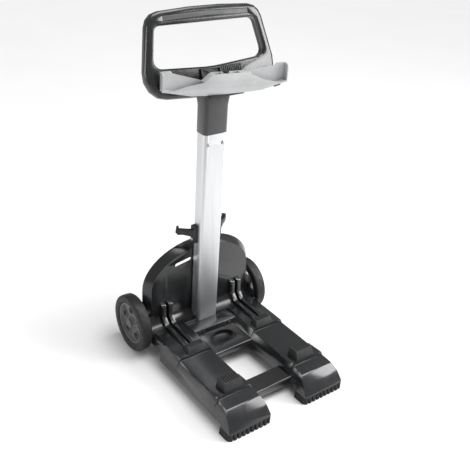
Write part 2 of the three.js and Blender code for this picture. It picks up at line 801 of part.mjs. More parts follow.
// ---------------------------------------------------------------- mast
const mastScrewPlaces = [-1, 1].map((sign) => ({
  place: new THREE.Vector3((sign * MAST_WIDTH) / 3, MAST_FRONT_Y - FIT_GAP, MAST_TOP_Z - 77),
  direction: new THREE.Vector3(0, -1, 0),
  length: MAST_WALL + 7,
}));

const hookScrewPlaces = sides.map(({ name, sign }) => ({
  name,
  place: new THREE.Vector3(sign * (MAST_WIDTH / 2 + FIT_GAP + HOOK_BLOCK), MAST_Y + 6, HOOK_Z),
  direction: new THREE.Vector3(sign, 0, 0),
  length: HOOK_BLOCK + MAST_WALL + 4,
}));

function mastTube() {
  const tube = prismZ(mastOutline(0), MAST_BOTTOM_Z, MAST_TOP_Z).subtract(
    prismZ(mastOutline(-MAST_WALL), MAST_BOTTOM_Z - 1, MAST_TOP_Z + 1),
  );
  const holes = [...mastScrewPlaces, ...hookScrewPlaces, ...socketScrewPlaces].map(
    ({ length, place, direction }) => screwHole(length, place, direction),
  );
  return cut(tube, holes);
}

addPiece("mast_tube", mastTube(), ALUMINIUM);
mastScrewPlaces.forEach(({ length, place, direction }, i) => {
  addScrew(`mast_screw_${i + 1}`, length, place, direction);
});
socketScrewPlaces.forEach(({ name, length, place, direction }) => {
  addScrew(`${name}_socket_screw`, length, place, direction);
});

// The plug inside the top of the mast that the two front screws pull the neck down on.
function neckPlug() {
  const grip = mastOutline(-MAST_WALL - FIT_GAP);
  const core = mastOutline(-MAST_WALL - FIT_GAP - 5);
  const plug = prismZ(grip, MAST_TOP_Z - 98, MAST_TOP_Z - 8).subtract(
    prismZ(core, MAST_TOP_Z - 99, MAST_TOP_Z),
  );
  const holes = mastScrewPlaces.map(({ length, place, direction }) =>
    screwHole(length, place, direction),
  );
  return cut(plug, holes);
}

addPiece("neck_plug", neckPlug(), NYLON);

// ---------------------------------------------------------------- cable hooks
function cableHook() {
  const root = MAST_WIDTH / 2 + FIT_GAP;
  const block = prismX(
    rectangle(MAST_Y - 4, HOOK_Z - 14, MAST_Y + 16, HOOK_Z + 44, 4),
    root,
    root + HOOK_BLOCK,
  );
  const arm = extruded(
    [
      [-4, 2],
      [30, 8],
      [44, 6],
      [52, 14, 2],
      [50, 32, 3],
      [44, 32, 3],
      [42, 24],
      [14, 24, 4],
      [-4, 26],
    ],
    12,
  );
  arm.rotateX(Math.PI / 2);
  arm.rotateZ(THREE.MathUtils.degToRad(HOOK_TURN));
  arm.translate(root + HOOK_BLOCK / 2, MAST_Y + 10, HOOK_Z + 6);
  const hole = screwHole(hookScrewPlaces[1].length, hookScrewPlaces[1].place, hookScrewPlaces[1].direction);
  return cut(block.add(solid(arm)), [hole, prismZ(mastOutline(FIT_GAP), HOOK_Z - 60, HOOK_Z + 60)]);
}

addPiece("right_cable_hook", cableHook(), NYLON);
addPiece("left_cable_hook", mirrorX(cableHook()), NYLON);
hookScrewPlaces.forEach(({ name, length, place, direction }) => {
  addScrew(`${name}_hook_screw`, length, place, direction);
});

// ---------------------------------------------------------------- loop handle
const tilt = THREE.MathUtils.degToRad(HANDLE_TILT);
const handleFrame = new THREE.Matrix4()
  .makeBasis(
    new THREE.Vector3(1, 0, 0),
    new THREE.Vector3(0, Math.sin(tilt), Math.cos(tilt)),
    new THREE.Vector3(0, -Math.cos(tilt), Math.sin(tilt)),
  )
  .setPosition(0, HANDLE_Y, HANDLE_Z);

const loopOuter = mirrored([
  [75, -40, 20],
  [218, -29, 62],
  [173, 181, 44],
  [45, 187.5],
]);
const loopHole = mirrored([
  [20, 34, 30],
  [178, 44, 22],
  [157, 147, 17],
]);

// The loop between two heights from its middle plane, in its own frame: rounded outside
// and lightly broken round the hand hole.
function loopSlab(grow, half, softness) {
  const outer = inset(loopOuter, -grow);
  const hole = inset(loopHole, grow);
  const around = rectangle(-400, -300, 400, 400);
  const rounding = { reach: HANDLE_BEVEL * softness, depth: HANDLE_BEVEL * softness, rounds: 2 };
  const breaking = { reach: HOLE_BEVEL * softness, depth: HOLE_BEVEL * softness, rounds: 1 };
  const body = solid(extruded(outer, 2 * half, [], rounding).translate(0, 0, -half));
  const frame = solid(extruded(around, 2 * half, [hole], breaking).translate(0, 0, -half));
  return common([body, frame]);
}

function toWorld(shape) {
  return shape.transform(handleFrame.toArray());
}

const handleScrewSpots = [
  [-185, 20],
  [-172, 120],
  [-60, 168],
  [60, 168],
  [172, 120],
  [185, 20],
];
const handleScrewLength = HANDLE_THICKNESS - SHELL_WALL - 6;
const handleScrewHead = -HANDLE_THICKNESS / 2 + 3;
const screwTip = handleScrewHead + handleScrewLength + 1;

const gripOutline = [
  [-GRIP_HALF, GRIP_LOW - GRIP_DROP, 2],
  [0, GRIP_LOW],
  [GRIP_HALF, GRIP_LOW - GRIP_DROP, 2],
  [GRIP_HALF, GRIP_HIGH - GRIP_DROP, 2],
  [0, GRIP_HIGH],
  [-GRIP_HALF, GRIP_HIGH - GRIP_DROP, 2],
];

function handleHalf(front) {
  const half = HANDLE_THICKNESS / 2;
  const whole = loopSlab(0, half, 1);
  const [low, high] = front ? [FIT_GAP / 2, half + 1] : [-half - 1, -FIT_GAP / 2];
  const keep = solid(extruded(rectangle(-300, -100, 300, 300), high - low).translate(0, 0, low));
  const cavity = loopSlab(-SHELL_WALL, half - SHELL_WALL, 0.7);
  const bosses = handleScrewSpots.map(([x, y]) =>
    solid(rod(BOSS_RADIUS, -half + 1, half - 1, TINY_ROUND).translate(x, y, 0)),
  );
  let shell = common([whole.subtract(cavity).add(common([join(bosses), whole])), keep]);
  const tools = handleScrewSpots.map(([x, y]) =>
    solid(rod(SCREW_RADIUS + HOLE_GAP, -half, screwTip, TINY_ROUND).translate(x, y, 0)),
  );
  if (front) {
    tools.push(
      solid(
        extruded(gripOutline, 2 * GRIP_DEPTH).translate(0, 0, half - GRIP_DEPTH),
      ),
    );
  } else {
    handleScrewSpots.forEach(([x, y]) => {
      const seat = rod(SCREW_HEAD + HOLE_GAP, -half - 2, handleScrewHead + FIT_GAP, TINY_ROUND);
      tools.push(solid(seat.translate(x, y, 0)));
    });
  }
  shell = cut(shell, tools);
  return toWorld(shell);
}

addPiece("handle_front_half", handleHalf(true), HANDLE_GREY);
addPiece("handle_rear_half", handleHalf(false), HANDLE_GREY);

const gripFloor = HANDLE_THICKNESS / 2 - GRIP_DEPTH + FIT_GAP;
const grip = extruded(inset(gripOutline, FIT_GAP), GRIP_DEPTH).translate(0, 0, gripFloor);
addPiece("grip_inlay", toWorld(solid(grip)), GRIP_GREY);

const handleGroup = new THREE.Group();
handleGroup.applyMatrix4(handleFrame);
caddy.add(handleGroup);
handleScrewSpots.forEach(([x, y], i) => {
  const place = new THREE.Vector3(x, y, handleScrewHead);
  addScrew(`handle_screw_${i + 1}`, handleScrewLength, place, new THREE.Vector3(0, 0, -1), handleGroup);
});

// Housing on the lower bar of the loop: an open pocket for the plug and a ribbed cord grip.
function cordClip() {
  const front = HANDLE_THICKNESS / 2 + FIT_GAP;
  const edge = { reach: 1, depth: 1, rounds: 1 };
  const outer = rectangle(CLIP_LEFT, 6, CLIP_RIGHT, 31, 3);
  const pocket = rectangle(CLIP_LEFT + 4, 10, CLIP_SPLIT, 27, 2);
  const block = solid(extruded(outer, CLIP_DEPTH, [], edge).translate(0, 0, front));
  const sunk = solid(extruded(pocket, CLIP_DEPTH).translate(0, 0, front + 2));
  const cross = [-1, 1].map((side) =>
    solid(
      extruded(rectangle(-28, -1.2, 28, 1.2), CLIP_DEPTH - 3)
        .rotateZ(side * CLIP_CROSS)
        .translate((CLIP_LEFT + 4 + CLIP_SPLIT) / 2, 18.5, front + 1),
    ),
  );
  const ribs = common([join(cross), solid(extruded(pocket, CLIP_DEPTH).translate(0, 0, front))]);
  const grooves = [];
  for (let x = CLIP_SPLIT + 6; x < CLIP_RIGHT - 3; x += CLIP_PITCH) {
    const groove = extruded(rectangle(x - 1, 2, x + 1, 35), CLIP_DEPTH);
    grooves.push(solid(groove.translate(0, 0, front + CLIP_DEPTH - 1.5)));
  }
  return toWorld(cut(block, [sunk, ...grooves]).add(ribs));
}

addPiece("cord_clip", cordClip(), PAD_BLACK);

// ---------------------------------------------------------------- neck collar
// The mast's outline grown outwards, straight at first and then flaring towards the handle.
function flaredNeck(growth) {
  const height = COLLAR_TOP_Z - COLLAR_BOTTOM_Z;
  const shape = new THREE.Shape(outline(mastOutline(growth)));
  const tube = new THREE.ExtrudeGeometry(shape, { depth: height, bevelEnabled: false, steps: 4 });
  const places = tube.attributes.position;
  for (let i = 0; i < places.count; i += 1) {
    const z = COLLAR_BOTTOM_Z + places.getZ(i);
    const rise = THREE.MathUtils.smoothstep(z, COLLAR_STRAIGHT_Z, COLLAR_TOP_Z);
    const flare = 1 + (COLLAR_FLARE - 1) * rise;
    const lean = Math.tan(tilt) * (COLLAR_TOP_Z - COLLAR_STRAIGHT_Z) * 0.1 * rise;
    places.setXYZ(i, places.getX(i) * flare, MAST_Y + (places.getY(i) - MAST_Y) * flare + lean, z);
  }
  return solid(tube);
}

function neckCollar() {
  const half = HANDLE_THICKNESS / 2 + FIT_GAP;
  const loop = toWorld(solid(extruded(inset(loopOuter, -FIT_GAP), 2 * half).translate(0, 0, -half)));
  const behindLoop = toWorld(
    solid(extruded(rectangle(-120, -38, 120, 80), 120).translate(0, 0, -120)),
  );
  const aheadOfLoop = toWorld(
    solid(extruded(rectangle(-120, -24, 120, 80), 120).translate(0, 0, 0)),
  );
  const mastRoom = prismZ(mastOutline(FIT_GAP), COLLAR_BOTTOM_Z - 1, MAST_TOP_Z + 2);
  return cut(flaredNeck(COLLAR_WALL), [loop, behindLoop, aheadOfLoop, mastRoom]);
}

addPiece("neck_collar", neckCollar(), HANDLE_GREY);

// ---------------------------------------------------------------- control unit holder
const plateThickness = 6;
const plateTop = HOLDER_Z - RUN_GAP;
const plateBottom = plateTop - plateThickness;
const postTop = HOLDER_BLOCK_TOP - 6;

function holderBracket() {
  const plate = prismZ(
    [
      [-MAST_WIDTH / 2 + 2, MAST_FRONT_Y + 4],
      [-PLATE_HALF, HOLDER_Y + 6, 8],
      [-PLATE_HALF, HOLDER_Y - 12, 8],
      [PLATE_HALF, HOLDER_Y - 12, 8],
      [PLATE_HALF, HOLDER_Y + 6, 8],
      [MAST_WIDTH / 2 - 2, MAST_FRONT_Y + 4],
    ],
    plateBottom,
    plateTop,
  );
  const post = solid(rod(POST_RADIUS, plateBottom, postTop, 24).translate(0, HOLDER_Y, 0));
  const web = prismX(
    [
      [HOLDER_Y + 2, plateBottom + 1],
      [MAST_FRONT_Y + 2, plateBottom - 22],
      [MAST_FRONT_Y + 2, plateBottom + 1],
    ],
    -6,
    6,
  );
  const half = HANDLE_THICKNESS / 2 + FIT_GAP;
  const loop = toWorld(solid(extruded(inset(loopOuter, -FIT_GAP), 2 * half).translate(0, 0, -half)));
  return cut(join([plate, post, web]), [flaredNeck(COLLAR_WALL + FIT_GAP), loop]);
}

addPiece("holder_bracket", holderBracket(), NYLON);

// Heights along an arm, from beside the block out to its tip.
const armRoot = HOLDER_BLOCK_HALF - 6;
const armBend = 100;
const bendUnder = HOLDER_Z + 2;
const tipUnder = HOLDER_Z + 19;
const armUnder = [
  [armRoot, HOLDER_Z],
  [armBend, bendUnder],
  [HOLDER_HALF, tipUnder],
];
const armFront = -HOLDER_FRONT;
const armBack = armFront + HOLDER_ARM_DEPTH;

// An upright or lying slab of the arm between its underside and the given upper edge.
const armSlab = (upper, y0, y1) => prismY([...armUnder, ...upper], y0, y1);

// One arm, running right. Its upper edge starts at the block's crown or in a notch beside it.
function holderArm(notched) {
  const rootZ = notched ? HOLDER_NOTCH_Z : HOLDER_BLOCK_TOP;
  const raised = armUnder.map(([x, z]) => [x, z + HOLDER_WALL]).reverse();
  const floor = armSlab(raised, armFront, armBack);
  const backWall = armSlab(
    [
      [HOLDER_HALF, HOLDER_TIP_TOP, 5],
      [HOLDER_HALF - 28, HOLDER_TIP_TOP, 3],
      [HOLDER_HALF - 32, HOLDER_TIP_TOP - 6, 3],
      [armRoot, rootZ],
    ],
    armBack - HOLDER_WALL,
    armBack,
  );
  const frontWall = armSlab(
    [
      [HOLDER_HALF, tipUnder + HOLDER_WALL],
      [HOLDER_HALF - 30, tipUnder],
      [armBend + 10, HOLDER_Z + 28, 20],
      [armRoot, notched ? rootZ : rootZ - 3],
    ],
    armFront,
    armFront + HOLDER_WALL,
  );
  const endWall = prismX(
    [
      [armFront, tipUnder - 1],
      [armBack, tipUnder - 1],
      [armBack, HOLDER_TIP_TOP, 2],
      [armFront, HOLDER_TIP_TOP - 2, 6],
    ],
    HOLDER_HALF - HOLDER_WALL,
    HOLDER_HALF,
  );
  return join([floor, backWall, frontWall, endWall]);
}

// The holder about its pivot: a block bored for the post and two open arms.
function controlHolder() {
  const block = prismZ(
    rectangle(-HOLDER_BLOCK_HALF, -HOLDER_FRONT, HOLDER_BLOCK_HALF, HOLDER_BACK),
    HOLDER_Z,
    HOLDER_BLOCK_TOP,
  );
  const slope = prismY(
    [
      [-HOLDER_BLOCK_HALF, HOLDER_Z],
      [HOLDER_BLOCK_HALF, HOLDER_Z],
      [HOLDER_BLOCK_HALF, HOLDER_BLOCK_TOP - 1],
      [-HOLDER_CROWN_HALF, HOLDER_BLOCK_TOP, 4],
      [-HOLDER_BLOCK_HALF, HOLDER_NOTCH_Z],
    ],
    -HOLDER_FRONT - 1,
    HOLDER_BACK + 1,
  );
  const pocket = prismZ(
    rectangle(-HOLDER_CROWN_HALF + 5, armFront + HOLDER_WALL, -14, HOLDER_BACK - HOLDER_WALL, 2),
    HOLDER_Z + HOLDER_WALL,
    HOLDER_BLOCK_TOP + 1,
  );
  const bore = solid(rod(POST_RADIUS + RUN_GAP, HOLDER_Z - 1, HOLDER_BLOCK_TOP + 1, 24));
  const body = join([common([block, slope]), holderArm(false), mirrorX(holderArm(true))]);
  return cut(body, [bore, pocket, mirrorX(pocket)]);
}

const holderGroup = new THREE.Group();
holderGroup.position.set(0, HOLDER_Y, 0);
holderGroup.rotation.z = THREE.MathUtils.degToRad(HOLDER_TURN);
caddy.add(holderGroup);
addPiece("control_unit_holder", controlHolder(), HOLDER_GREY, holderGroup);

// Cap screw that keeps the holder on its post, and the two soft buffers under its arms.
const capShape = turned(
  [
    [0, postTop + FIT_GAP],
    [POST_RADIUS - 1, postTop + FIT_GAP],
    [POST_RADIUS - 1, HOLDER_BLOCK_TOP + RUN_GAP],
    [POST_RADIUS + 3, HOLDER_BLOCK_TOP + RUN_GAP],
    [POST_RADIUS + 2, HOLDER_BLOCK_TOP + 3],
    [0, HOLDER_BLOCK_TOP + 4],
  ],
  24,
);
addPiece("holder_cap", capShape.translate(0, HOLDER_Y, 0), NYLON);

sides.forEach(({ name, sign }) => {
  const x = sign * BUFFER_X;
  const slope = (sign * (tipUnder - bendUnder)) / (HOLDER_HALF - armBend);
  const top = bendUnder + Math.abs(slope) * (BUFFER_X - armBend) - FIT_GAP;
  const rise = slope * BUFFER_REACH;
  const buffer = prismY(
    [
      [x - BUFFER_REACH, top - BUFFER_THICKNESS - rise],
      [x + BUFFER_REACH, top - BUFFER_THICKNESS + rise],
      [x + BUFFER_REACH, top + rise],
      [x - BUFFER_REACH, top - rise],
    ],
    armFront + 3,
    armBack - 3,
  );
  addPiece(`${name}_holder_buffer`, buffer, RUBBER, holderGroup);
});

// ---------------------------------------------------------------- axle and wheels
const hubInnerX = WHEEL_INNER_X - 4;
const rimOuterX = WHEEL_INNER_X + WHEEL_WIDTH - 6;
const clipX = rimOuterX + 1.4;
const axleEndX = WHEEL_INNER_X + WHEEL_WIDTH - 2.4;
const capX = WHEEL_INNER_X + WHEEL_WIDTH;

addPiece("axle", onAxle(rod(AXLE_RADIUS, -axleEndX, axleEndX, 24)), STEEL);

function tyreShape() {
  const inner = WHEEL_INNER_X;
  const outer = WHEEL_INNER_X + WHEEL_WIDTH;
  const seat = RIM_RADIUS + FIT_GAP;
  return turned([
    [seat, inner + 3],
    [seat + 4, inner],
    [WHEEL_RADIUS - 4, inner],
    [WHEEL_RADIUS - 0.8, inner + 4],
    [WHEEL_RADIUS, (inner + outer) / 2],
    [WHEEL_RADIUS - 0.8, outer - 4],
    [WHEEL_RADIUS - 4, outer],
    [seat + 4, outer],
    [seat, outer - 3],
    [seat, inner + 3],
  ]);
}

function rimShape() {
  const inner = WHEEL_INNER_X + 4;
  const middle = WHEEL_INNER_X + WHEEL_WIDTH / 2;
  const boreRadius = AXLE_RADIUS + RUN_GAP + BUSH_WALL + FIT_GAP;
  const disc = solid(
    turned([
      [boreRadius, hubInnerX],
      [HUB_RADIUS, hubInnerX],
      [HUB_RADIUS, middle - RIM_WEB / 2],
      [RIM_RADIUS - 5, middle - RIM_WEB / 2],
      [RIM_RADIUS - 5, inner],
      [RIM_RADIUS, inner],
      [RIM_RADIUS, rimOuterX + 2],
      [RIM_RADIUS - 4, rimOuterX + 2],
      [RIM_RADIUS - 8, middle + RIM_WEB / 2],
      [HUB_RADIUS + 4, middle + RIM_WEB / 2],
      [HUB_RADIUS, rimOuterX],
      [boreRadius, rimOuterX],
      [boreRadius, hubInnerX],
    ]),
  );
  const face = middle + RIM_WEB / 2;
  const lips = [];
  const apertures = [];
  for (let i = 0; i < APERTURES; i += 1) {
    const angle = THREE.MathUtils.degToRad(APERTURE_PHASE) + (2 * Math.PI * i) / APERTURES;
    const hole = rectangle(
      -APERTURE_WIDTH / 2,
      -APERTURE_LENGTH / 2,
      APERTURE_WIDTH / 2,
      APERTURE_LENGTH / 2,
      APERTURE_WIDTH / 2 - 1,
    );
    const place = (geometry, x) => {
      const radius = (HUB_RADIUS + RIM_RADIUS) / 2 + 2;
      return solid(geometry.translate(radius, 0, x).rotateZ(-angle));
    };
    lips.push(place(extruded(inset(hole, -APERTURE_LIP), 2 * APERTURE_LIP), face - APERTURE_LIP));
    apertures.push(place(extruded(hole, 3 * RIM_WEB), face - 2 * RIM_WEB));
  }
  return cut(join([disc, ...lips]), apertures);
}

const hubCapShape = () =>
  turned(
    [
      [0, capX - 2],
      [HUB_RADIUS - 5, capX - 2],
      [HUB_RADIUS - 5, rimOuterX + FIT_GAP],
      [HUB_RADIUS - 2, rimOuterX + FIT_GAP],
      [HUB_RADIUS - 2, capX - 2],
      [HUB_RADIUS - 5, capX],
      [0, capX],
    ],
    24,
  );

sides.forEach(({ name, sign }) => {
  const side = new THREE.Group();
  side.rotation.z = sign > 0 ? 0 : Math.PI;
  side.position.set(0, AXLE_Y, AXLE_Z);
  caddy.add(side);
  const bushInner = AXLE_RADIUS + RUN_GAP;
  addPiece(`${name}_tyre`, alongX(tyreShape()), RUBBER, side);
  addPiece(`${name}_wheel_rim`, alongX(geometryOf(rimShape())), HUB_GREY, side);
  addPiece(
    `${name}_wheel_bush`,
    alongX(ring(bushInner, bushInner + BUSH_WALL, hubInnerX - 0.2, rimOuterX, 24)),
    NYLON,
    side,
  );
  addPiece(`${name}_hub_cap`, alongX(hubCapShape()), HUB_GREY, side);
  addPiece(
    `${name}_axle_washer`,
    alongX(ring(AXLE_RADIUS + FIT_GAP, HUB_RADIUS - 3, BODY_HALF + FIT_GAP, hubInnerX - RUN_GAP, 24)),
    STEEL,
    side,
  );
  addPiece(
    `${name}_axle_clip`,
    alongX(ring(AXLE_RADIUS + FIT_GAP, HUB_RADIUS - 6, clipX, clipX + 1.6, 24)),
    STEEL,
    side,
  );
});

export default caddy;
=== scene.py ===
"""Pool cleaner caddy: the finishes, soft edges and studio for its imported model.

Metres, +Z up, -Y is the front where the forks point, X = 0 is the middle plane.
"""

import json
import math

import bmesh
import bpy
from bpy.props import FloatProperty, FloatVectorProperty, PointerProperty
from mathutils import Matrix, Vector


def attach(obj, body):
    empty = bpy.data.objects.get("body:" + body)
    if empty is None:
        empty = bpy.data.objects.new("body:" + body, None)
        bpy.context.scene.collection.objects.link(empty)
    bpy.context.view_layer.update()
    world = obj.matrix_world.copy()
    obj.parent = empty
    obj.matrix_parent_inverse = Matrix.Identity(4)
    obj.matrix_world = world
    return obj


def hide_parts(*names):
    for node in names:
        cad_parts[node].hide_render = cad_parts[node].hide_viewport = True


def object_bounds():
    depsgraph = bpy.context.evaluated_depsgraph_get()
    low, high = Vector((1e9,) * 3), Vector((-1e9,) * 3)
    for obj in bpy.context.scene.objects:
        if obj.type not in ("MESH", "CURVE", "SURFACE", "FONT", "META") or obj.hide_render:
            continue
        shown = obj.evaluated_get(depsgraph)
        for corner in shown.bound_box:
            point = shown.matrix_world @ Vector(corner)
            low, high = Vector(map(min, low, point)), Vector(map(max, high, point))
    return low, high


bl_info = {
    "name": "Pool Cleaner Caddy",
    "version": (1, 0, 0),
    "blender": (4, 5, 0),
    "location": "View3D > Sidebar > Caddy",
    "description": "Finishes the packed caddy and sets it in a pale studio",
    "category": "Object",
}

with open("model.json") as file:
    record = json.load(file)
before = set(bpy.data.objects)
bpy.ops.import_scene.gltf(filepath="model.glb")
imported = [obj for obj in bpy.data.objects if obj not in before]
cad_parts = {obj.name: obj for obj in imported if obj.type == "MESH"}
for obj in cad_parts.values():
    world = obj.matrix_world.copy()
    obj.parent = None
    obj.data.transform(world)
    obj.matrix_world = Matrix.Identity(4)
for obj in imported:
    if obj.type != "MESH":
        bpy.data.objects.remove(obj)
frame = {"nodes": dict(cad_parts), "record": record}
CAD_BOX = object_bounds()
NODES = frame["nodes"]
SIDES = ("left", "right")

SAME_POINT = 2e-6  # corners nearer than this are one corner
FLAT_ANGLE = math.radians(0.6)  # faces that turn less than this are one face
CREASE_ANGLE = math.radians(28)  # edges that turn more than this are rounded
SMOOTH_ANGLE = math.radians(32)  # edges that turn less than this are shaded smooth
EDGE_SEGMENTS = 2
COAT_ROUGHNESS = 0.2

FLOOR_RADIUS = 30.0
FLOOR_GAP = 0.0002
SOFT_BOX = {"place": (2.21, -1.42, 1.70), "target": (0.1, 0.0, 0.80), "size": (1.5, 1.7)}
STRIP_BOX = {"place": (-2.3, 0.9, 1.2), "target": (0, 0.1, 0.6), "size": (0.35, 1.6)}
STRIP_SHARE = 0.16  # of the soft box's power
CEILING_SPREAD = math.radians(38)
CEILING_FROM = (0.28, -0.22, 1.0)
CAMERA_PLACE = (-1.0696, -1.3666, 1.3962)
CAMERA_TURN = (-37.97, 29.08, 3.8)  # azimuth, elevation and roll in degrees


# ---------------------------------------------------------------- settings
def colour_setting(name, description, default):
    return FloatVectorProperty(
        name=name, description=description, default=default, subtype="COLOR", size=3, min=0, max=1
    )


def length_setting(name, description, default):
    return FloatProperty(
        name=name, description=description, default=default, min=0, unit="LENGTH", precision=4
    )


class CaddyFinish(bpy.types.PropertyGroup):
    """Colours and edge radii of the caddy"""

    base_colour: colour_setting("Base", "Moulded base and back shield", (0.0095, 0.0100, 0.0110))
    handle_colour: colour_setting("Handle", "Loop handle and neck collar", (0.0150, 0.0155, 0.0165))
    grip_colour: colour_setting("Grip", "Inlay of the loop's top bar", (0.085, 0.088, 0.090))
    holder_colour: colour_setting("Holder", "Control unit holder", (0.46, 0.465, 0.47))
    hub_colour: colour_setting("Hub", "Wheel rims and hub caps", (0.105, 0.107, 0.11))
    tyre_colour: colour_setting("Tyre", "Tread and side of the tyres", (0.0080, 0.0080, 0.0085))
    pad_colour: colour_setting("Pads", "Ribbed pads under the load", (0.016, 0.0165, 0.0175))
    mast_colour: colour_setting("Mast", "Anodised aluminium tube", (0.70, 0.71, 0.72))
    moulding_edge: length_setting("Moulding edge", "Edge radius of the mouldings", 0.0014)
    fine_edge: length_setting("Fine edge", "Edge radius of pads and small pieces", 0.0006)
    grain: length_setting("Grain depth", "Depth of the moulded grain", 0.00006)


class CaddyStudio(bpy.types.PropertyGroup):
    """Floor, light and camera"""

    floor_colour: colour_setting("Floor", "Pale studio floor", (0.90, 0.90, 0.90))
    key_power: FloatProperty(
        name="Soft box", description="Power of the large soft box", default=72, min=0, unit="POWER"
    )
    ceiling: FloatProperty(
        name="Ceiling", description="Strength of the light from overhead", default=2.2, min=0
    )
    room_light: FloatProperty(
        name="Room light", description="Strength of the light from all round", default=0.36, min=0
    )
    lens: FloatProperty(
        name="Lens", description="Focal length of the camera", default=54.74, min=1, unit="CAMERA"
    )


# ---------------------------------------------------------------- finishes
class Finish:
    """A procedural material under construction, mapped in the caddy's own metres."""

    def __init__(self, name, colour, roughness, metallic=0.0):
        self.material = bpy.data.materials.new(name)
        self.material.use_nodes = True
        self.tree = self.material.node_tree
        self.shader = self.tree.nodes["Principled BSDF"]
        self.colour = tuple(colour)
        self.shader.inputs["Base Color"].default_value = (*self.colour, 1)
        self.shader.inputs["Roughness"].default_value = roughness
        self.shader.inputs["Metallic"].default_value = metallic
        self.material.diffuse_color = (*self.colour, 1)
        self.place = self.tree.nodes.new("ShaderNodeTexCoord").outputs["Object"]
        self.normal = None

    def link(self, source, target):
        self.tree.links.new(source, target)

    def stretched(self, scale):
        mapping = self.tree.nodes.new("ShaderNodeMapping")
        mapping.inputs["Scale"].default_value = scale
        self.link(self.place, mapping.inputs["Vector"])
        return mapping.outputs["Vector"]

    def noise(self, scale, detail=3.0, stretch=None):
        node = self.tree.nodes.new("ShaderNodeTexNoise")
        node.inputs["Scale"].default_value = scale
        node.inputs["Detail"].default_value = detail
        self.link(self.stretched(stretch) if stretch else self.place, node.inputs["Vector"])
        return node.outputs["Fac"]

    def ramp(self, value, low, high, from_low=0.35, from_high=0.65):
        node = self.tree.nodes.new("ShaderNodeMapRange")
        node.inputs["From Min"].default_value = from_low
        node.inputs["From Max"].default_value = from_high
        node.inputs["To Min"].default_value = low
        node.inputs["To Max"].default_value = high
        self.link(value, node.inputs["Value"])
        return node.outputs["Result"]

    def mottle(self, value, spread, tint=(1.0, 1.0, 1.0)):
        """Colour that drifts by spread either way as value goes from low to high."""
        node = self.tree.nodes.new("ShaderNodeValToRGB")
        low, high = node.color_ramp.elements
        low.position, high.position = 0.3, 0.7
        low.color = (*(c * (1 - spread) for c in self.colour), 1)
        high.color = (*(min(1, c * (1 + spread) * t) for c, t in zip(self.colour, tint)), 1)
        self.link(value, node.inputs["Fac"])
        self.link(node.outputs["Color"], self.shader.inputs["Base Color"])
        return node.outputs["Color"]

    def worn_edges(self, under, amount, brightness):
        """Edges rubbed towards a lighter shade, where the surface turns sharply outwards."""
        sharp = self.tree.nodes.new("ShaderNodeNewGeometry").outputs["Pointiness"]
        worn = self.ramp(sharp, 0.0, amount, 0.51, 0.60)
        mix = self.tree.nodes.new("ShaderNodeMix")
        mix.data_type = "RGBA"
        self.link(worn, mix.inputs["Factor"])
        self.link(under, mix.inputs["A"])
        mix.inputs["B"].default_value = (*(min(1, c * brightness) for c in self.colour), 1)
        self.link(mix.outputs["Result"], self.shader.inputs["Base Color"])

    def rough(self, value, low, high):
        self.link(self.ramp(value, low, high), self.shader.inputs["Roughness"])

    def bump(self, value, depth):
        node = self.tree.nodes.new("ShaderNodeBump")
        node.inputs["Strength"].default_value = 1.0
        node.inputs["Distance"].default_value = depth
        self.link(value, node.inputs["Height"])
        if self.normal:
            self.link(self.normal, node.inputs["Normal"])
        self.normal = node.outputs["Normal"]
        self.link(self.normal, self.shader.inputs["Normal"])

    def gloss(self, coat):
        self.shader.inputs["Coat Weight"].default_value = coat
        self.shader.inputs["Coat Roughness"].default_value = COAT_ROUGHNESS


def moulded(name, colour, low, high, grain, coat=0.0, wear=0.5):
    """Injection-moulded plastic: fine spark grain, faint flow marks and rubbed edges."""
    finish = Finish(name, colour, (low + high) / 2)
    drift = finish.mottle(finish.noise(9, 4), 0.14)
    finish.worn_edges(drift, wear, 2.6)
    finish.rough(finish.noise(26, 5), low, high)
    finish.bump(finish.noise(900, 2), grain)
    finish.bump(finish.noise(120, 2), grain * 0.5)
    if coat:
        finish.gloss(coat)
    return finish.material


def moulded_base(look):
    return moulded("satin black moulding", look.base_colour, 0.15, 0.27, look.grain, 0.35)


def moulded_handle(look):
    return moulded("charcoal handle moulding", look.handle_colour, 0.15, 0.26, look.grain, 0.3)


def moulded_holder(look):
    return moulded("glossy light grey", look.holder_colour, 0.16, 0.28, look.grain * 0.3, 0.4, 0.15)


def moulded_hub(look):
    return moulded("matt grey hub", look.hub_colour, 0.42, 0.58, look.grain, 0.0, 0.3)


def ribbed_pad(look):
    finish = Finish("ribbed pad", look.pad_colour, 0.6)
    finish.mottle(finish.noise(60, 4), 0.25)
    finish.rough(finish.noise(80, 4), 0.5, 0.7)
    finish.bump(finish.noise(1300, 3), look.grain)
    return finish.material


def soft_grip(look):
    finish = Finish("soft-touch grip", look.grip_colour, 0.6)
    finish.mottle(finish.noise(35, 4), 0.08)
    finish.rough(finish.noise(50, 4), 0.5, 0.65)
    finish.bump(finish.noise(1600, 2), look.grain * 1.4)
    finish.shader.inputs["Sheen Weight"].default_value = 0.15
    return finish.material


def tyre_rubber(look):
    finish = Finish("hard tyre rubber", look.tyre_colour, 0.6)
    finish.mottle(finish.noise(40, 6), 0.3, (1.06, 1.03, 1.0))
    finish.rough(finish.noise(70, 5), 0.48, 0.72)
    finish.bump(finish.noise(700, 4), look.grain * 2)
    return finish.material


def foot_rubber(look):
    finish = Finish("foot rubber", (0.009, 0.009, 0.0095), 0.75)
    finish.mottle(finish.noise(55, 5), 0.3)
    finish.rough(finish.noise(60, 4), 0.62, 0.85)
    finish.bump(finish.noise(1000, 3), look.grain * 2)
    return finish.material


